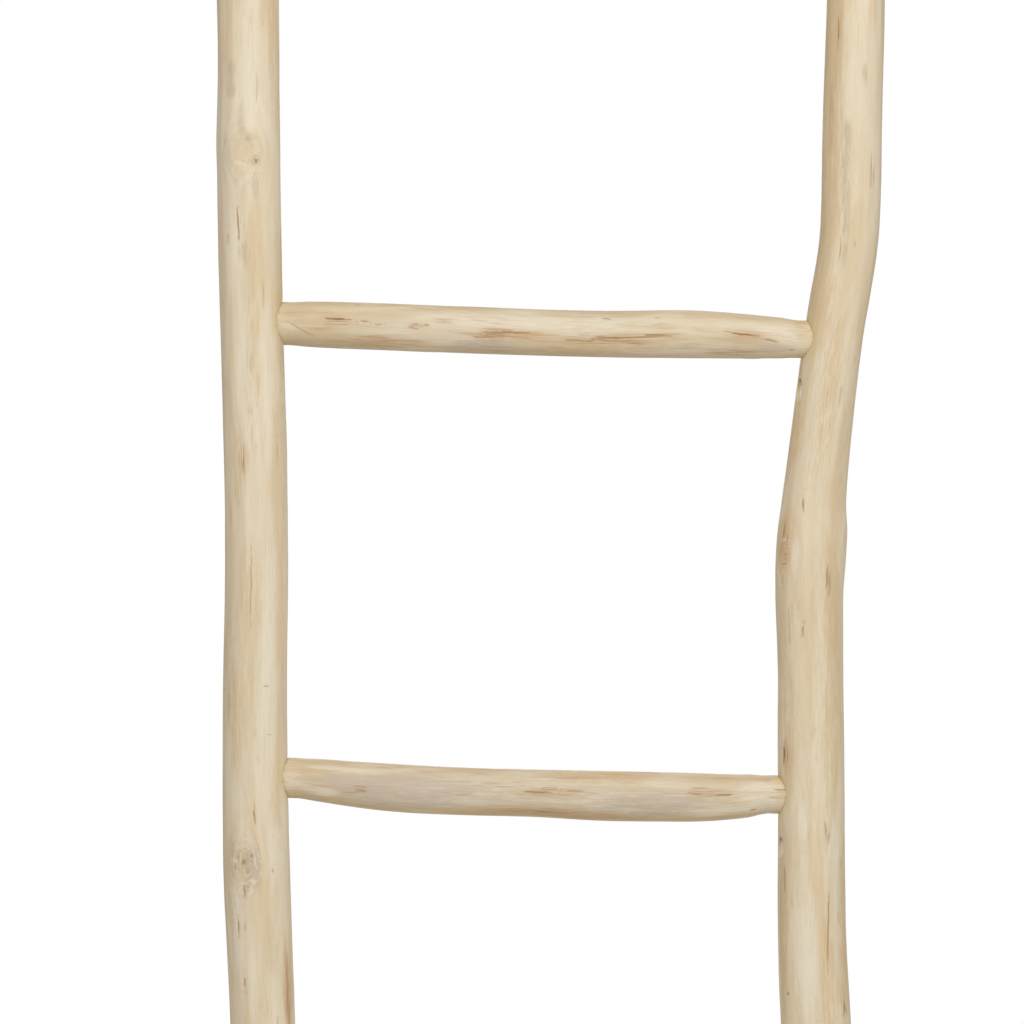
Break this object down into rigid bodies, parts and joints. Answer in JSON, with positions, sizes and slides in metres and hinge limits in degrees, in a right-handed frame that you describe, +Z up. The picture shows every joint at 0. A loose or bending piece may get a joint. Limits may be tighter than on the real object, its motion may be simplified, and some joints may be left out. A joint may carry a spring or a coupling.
{
  "type": "blanket ladder",
  "caption": "Rustic ladder rack of peeled branches: crooked stiles joined by rungs, for hanging quilts, blankets or towels.",
  "frame": {"origin": "on the floor, midway between the rack's outer left and right faces and between its front and back", "axes": "+Z up along the stiles, +X to the right as seen from the front, -Y towards the front"},
  "size_m": [0.4502, 0.0609, 1.5],
  "materials": {
    "stile_wood": "peeled and drawknifed pale branch wood, dry and matt, with fine brown checks and grey patches",
    "rung_wood": "peeled pale branch wood, dry and matt, with brown streaks along the grain",
    "screw_zinc": "zinc plated, satin"
  },
  "bodies": {
    "root": {"left_stile": "stile_wood", "right_stile": "stile_wood", "rung_1": "rung_wood", "rung_2": "rung_wood", "rung_3": "rung_wood", "rung_4": "rung_wood", "rung_5": "rung_wood", "left_screw_1": "screw_zinc", "left_screw_2": "screw_zinc", "left_screw_3": "screw_zinc", "left_screw_4": "screw_zinc", "left_screw_5": "screw_zinc", "right_screw_1": "screw_zinc", "right_screw_2": "screw_zinc", "right_screw_3": "screw_zinc", "right_screw_4": "screw_zinc", "right_screw_5": "screw_zinc"}
  },
  "joints": []
}
